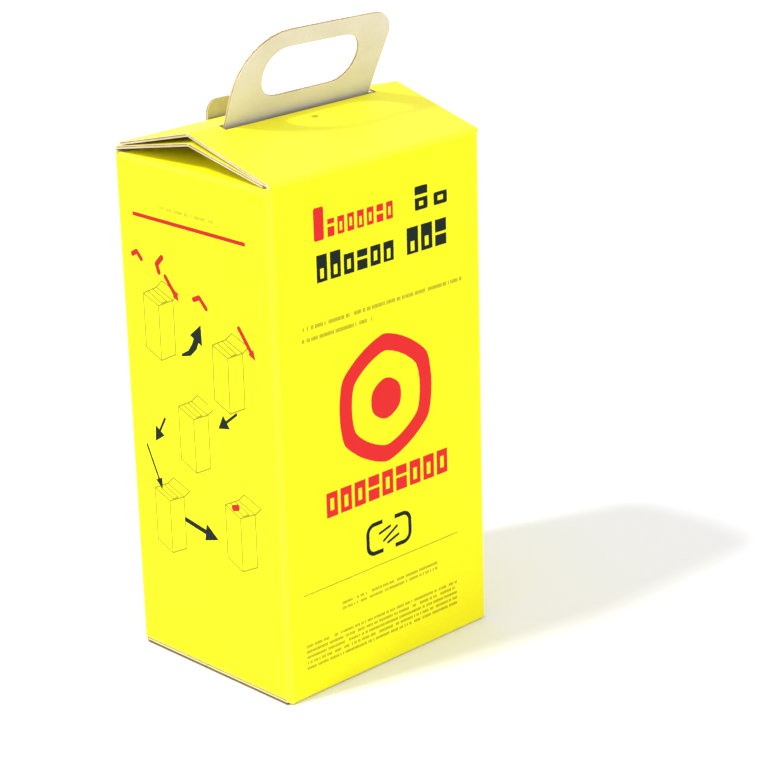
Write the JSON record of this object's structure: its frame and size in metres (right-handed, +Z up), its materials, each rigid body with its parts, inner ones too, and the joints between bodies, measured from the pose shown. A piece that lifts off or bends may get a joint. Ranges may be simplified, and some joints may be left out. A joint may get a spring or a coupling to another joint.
{
  "type": "sharps container",
  "caption": "Tall folded cardboard safety box for used sharps, with a pitched double-layer roof, a stand-up carrying handle and a rear disposal lid.",
  "frame": {"origin": "centre of the base footprint, on the surface that the box stands on", "axes": "+X across the front face to the right, +Y from the front face to the back, +Z up towards the handle; the handle leans towards -Y"},
  "size_m": [0.15, 0.121, 0.3488],
  "materials": {
    "yellow_board": "printed yellow outside, raw kraft inside, semi-matt ink film",
    "kraft_board": "raw kraft corrugated board, matt"
  },
  "bodies": {
    "carton": {"front_wall": "yellow_board", "back_wall": "yellow_board", "roof_lock_tongue": "yellow_board", "left_wall": "yellow_board", "right_wall": "yellow_board", "glue_flap": "kraft_board", "bottom_flap_front": "yellow_board", "bottom_flap_back": "yellow_board", "bottom_lock_tongue": "yellow_board", "bottom_flap_left": "yellow_board", "bottom_flap_right": "yellow_board", "back_roof_panel": "yellow_board", "roof_wing_left": "yellow_board", "roof_wing_right": "yellow_board"},
    "left_dust_flap": {"dust_flap_left": "yellow_board"},
    "right_dust_flap": {"dust_flap_right": "yellow_board"},
    "carrying_handle": {"handle": "kraft_board"},
    "roof_flap": {"front_roof_panel": "yellow_board"},
    "roof_tail": {"front_roof_tail": "yellow_board"},
    "lid": {"disposal_lid": "yellow_board"}
  },
  "joints": [
    {"name": "roof_flap_fold", "type": "hinge", "parent": "carton", "child": "roof_flap", "pos_m": [0, -0.0605, 0.285], "axis": [1, 0, 0], "range_deg": [0, 175]},
    {"name": "handle_lean", "type": "hinge", "parent": "carton", "child": "carrying_handle", "pos_m": [0, 0.0005, 0.2965], "axis": [1, 0, 0], "range_deg": [0, 56]},
    {"name": "roof_tail_fold", "type": "hinge", "parent": "roof_flap", "child": "roof_tail", "pos_m": [0, 0, 0.3016], "axis": [1, 0, 0], "range_deg": [0, 90]},
    {"name": "lid_fold", "type": "hinge", "parent": "roof_tail", "child": "lid", "pos_m": [0, 0.0433, 0.291], "axis": [-1, 0, 0], "range_deg": [0, 110]},
    {"name": "left_dust_flap_fold", "type": "hinge", "parent": "carton", "child": "left_dust_flap", "pos_m": [-0.0734, 0, 0.2804], "axis": [0, 1, 0], "range_deg": [0, 80]},
    {"name": "right_dust_flap_fold", "type": "hinge", "parent": "carton", "child": "right_dust_flap", "pos_m": [0.0734, 0, 0.2804], "axis": [0, -1, 0], "range_deg": [0, 80]}
  ],
  "couplings": [
    {"joint": "handle_lean", "follows": "roof_flap_fold", "ratio": 0.32}
  ]
}
